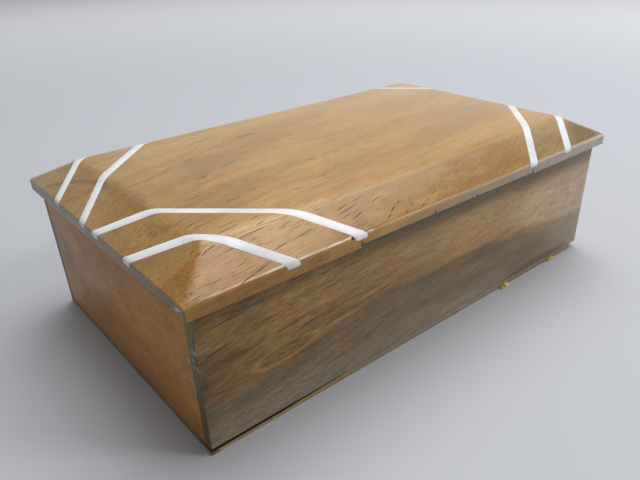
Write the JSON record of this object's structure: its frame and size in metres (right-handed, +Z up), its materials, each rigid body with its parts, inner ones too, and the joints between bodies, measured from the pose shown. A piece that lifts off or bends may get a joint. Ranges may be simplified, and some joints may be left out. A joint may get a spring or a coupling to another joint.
{
  "type": "hinged wooden box",
  "caption": "Low hardwood box with an overhanging hinged lid, sloping lid margins and pale metal strips let in across the lid's corners.",
  "frame": {"origin": "middle of the underside, on the surface that the box stands on", "axes": "+X along the box, -Y to the front, +Y to the hinges, +Z up"},
  "size_m": [0.2, 0.1204, 0.0615],
  "materials": {
    "lid_wood": "open-pored golden brown hardwood, thin satin polish",
    "wall_wood": "open-pored brown hardwood with dark streaks, thin satin polish",
    "end_wood": "reddish brown hardwood, fine pores, thin satin polish",
    "panel_wood": "pale tan board, sanded",
    "inlay_metal": "silvery white metal, fine scratches along the strip",
    "hinge_brass": "dulled rolled brass",
    "screw_brass": "dulled turned brass"
  },
  "bodies": {
    "box": {"front_wall": "wall_wood", "back_wall": "wall_wood", "left_end": "end_wood", "right_end": "end_wood", "bottom_panel": "panel_wood", "left_hinge_box_leaf": "hinge_brass", "left_hinge_pin": "hinge_brass", "left_hinge_box_screw_left": "screw_brass", "left_hinge_box_screw_right": "screw_brass", "right_hinge_box_leaf": "hinge_brass", "right_hinge_pin": "hinge_brass", "right_hinge_box_screw_left": "screw_brass", "right_hinge_box_screw_right": "screw_brass"},
    "lid": {"lid_board": "lid_wood", "inlay_front_left_inner": "inlay_metal", "inlay_front_left_outer": "inlay_metal", "inlay_back_left_inner": "inlay_metal", "inlay_back_left_outer": "inlay_metal", "inlay_front_right_inner": "inlay_metal", "inlay_front_right_outer": "inlay_metal", "inlay_back_right_inner": "inlay_metal", "inlay_back_right_outer": "inlay_metal", "left_hinge_lid_leaf": "hinge_brass", "left_hinge_lid_screw_left": "screw_brass", "left_hinge_lid_screw_right": "screw_brass", "right_hinge_lid_leaf": "hinge_brass", "right_hinge_lid_screw_left": "screw_brass", "right_hinge_lid_screw_right": "screw_brass"}
  },
  "joints": [
    {"name": "lid_hinge", "type": "hinge", "parent": "box", "child": "lid", "pos_m": [0, 0.0579, 0.04925], "axis": [-1, 0, 0], "range_deg": [0, 105]}
  ]
}
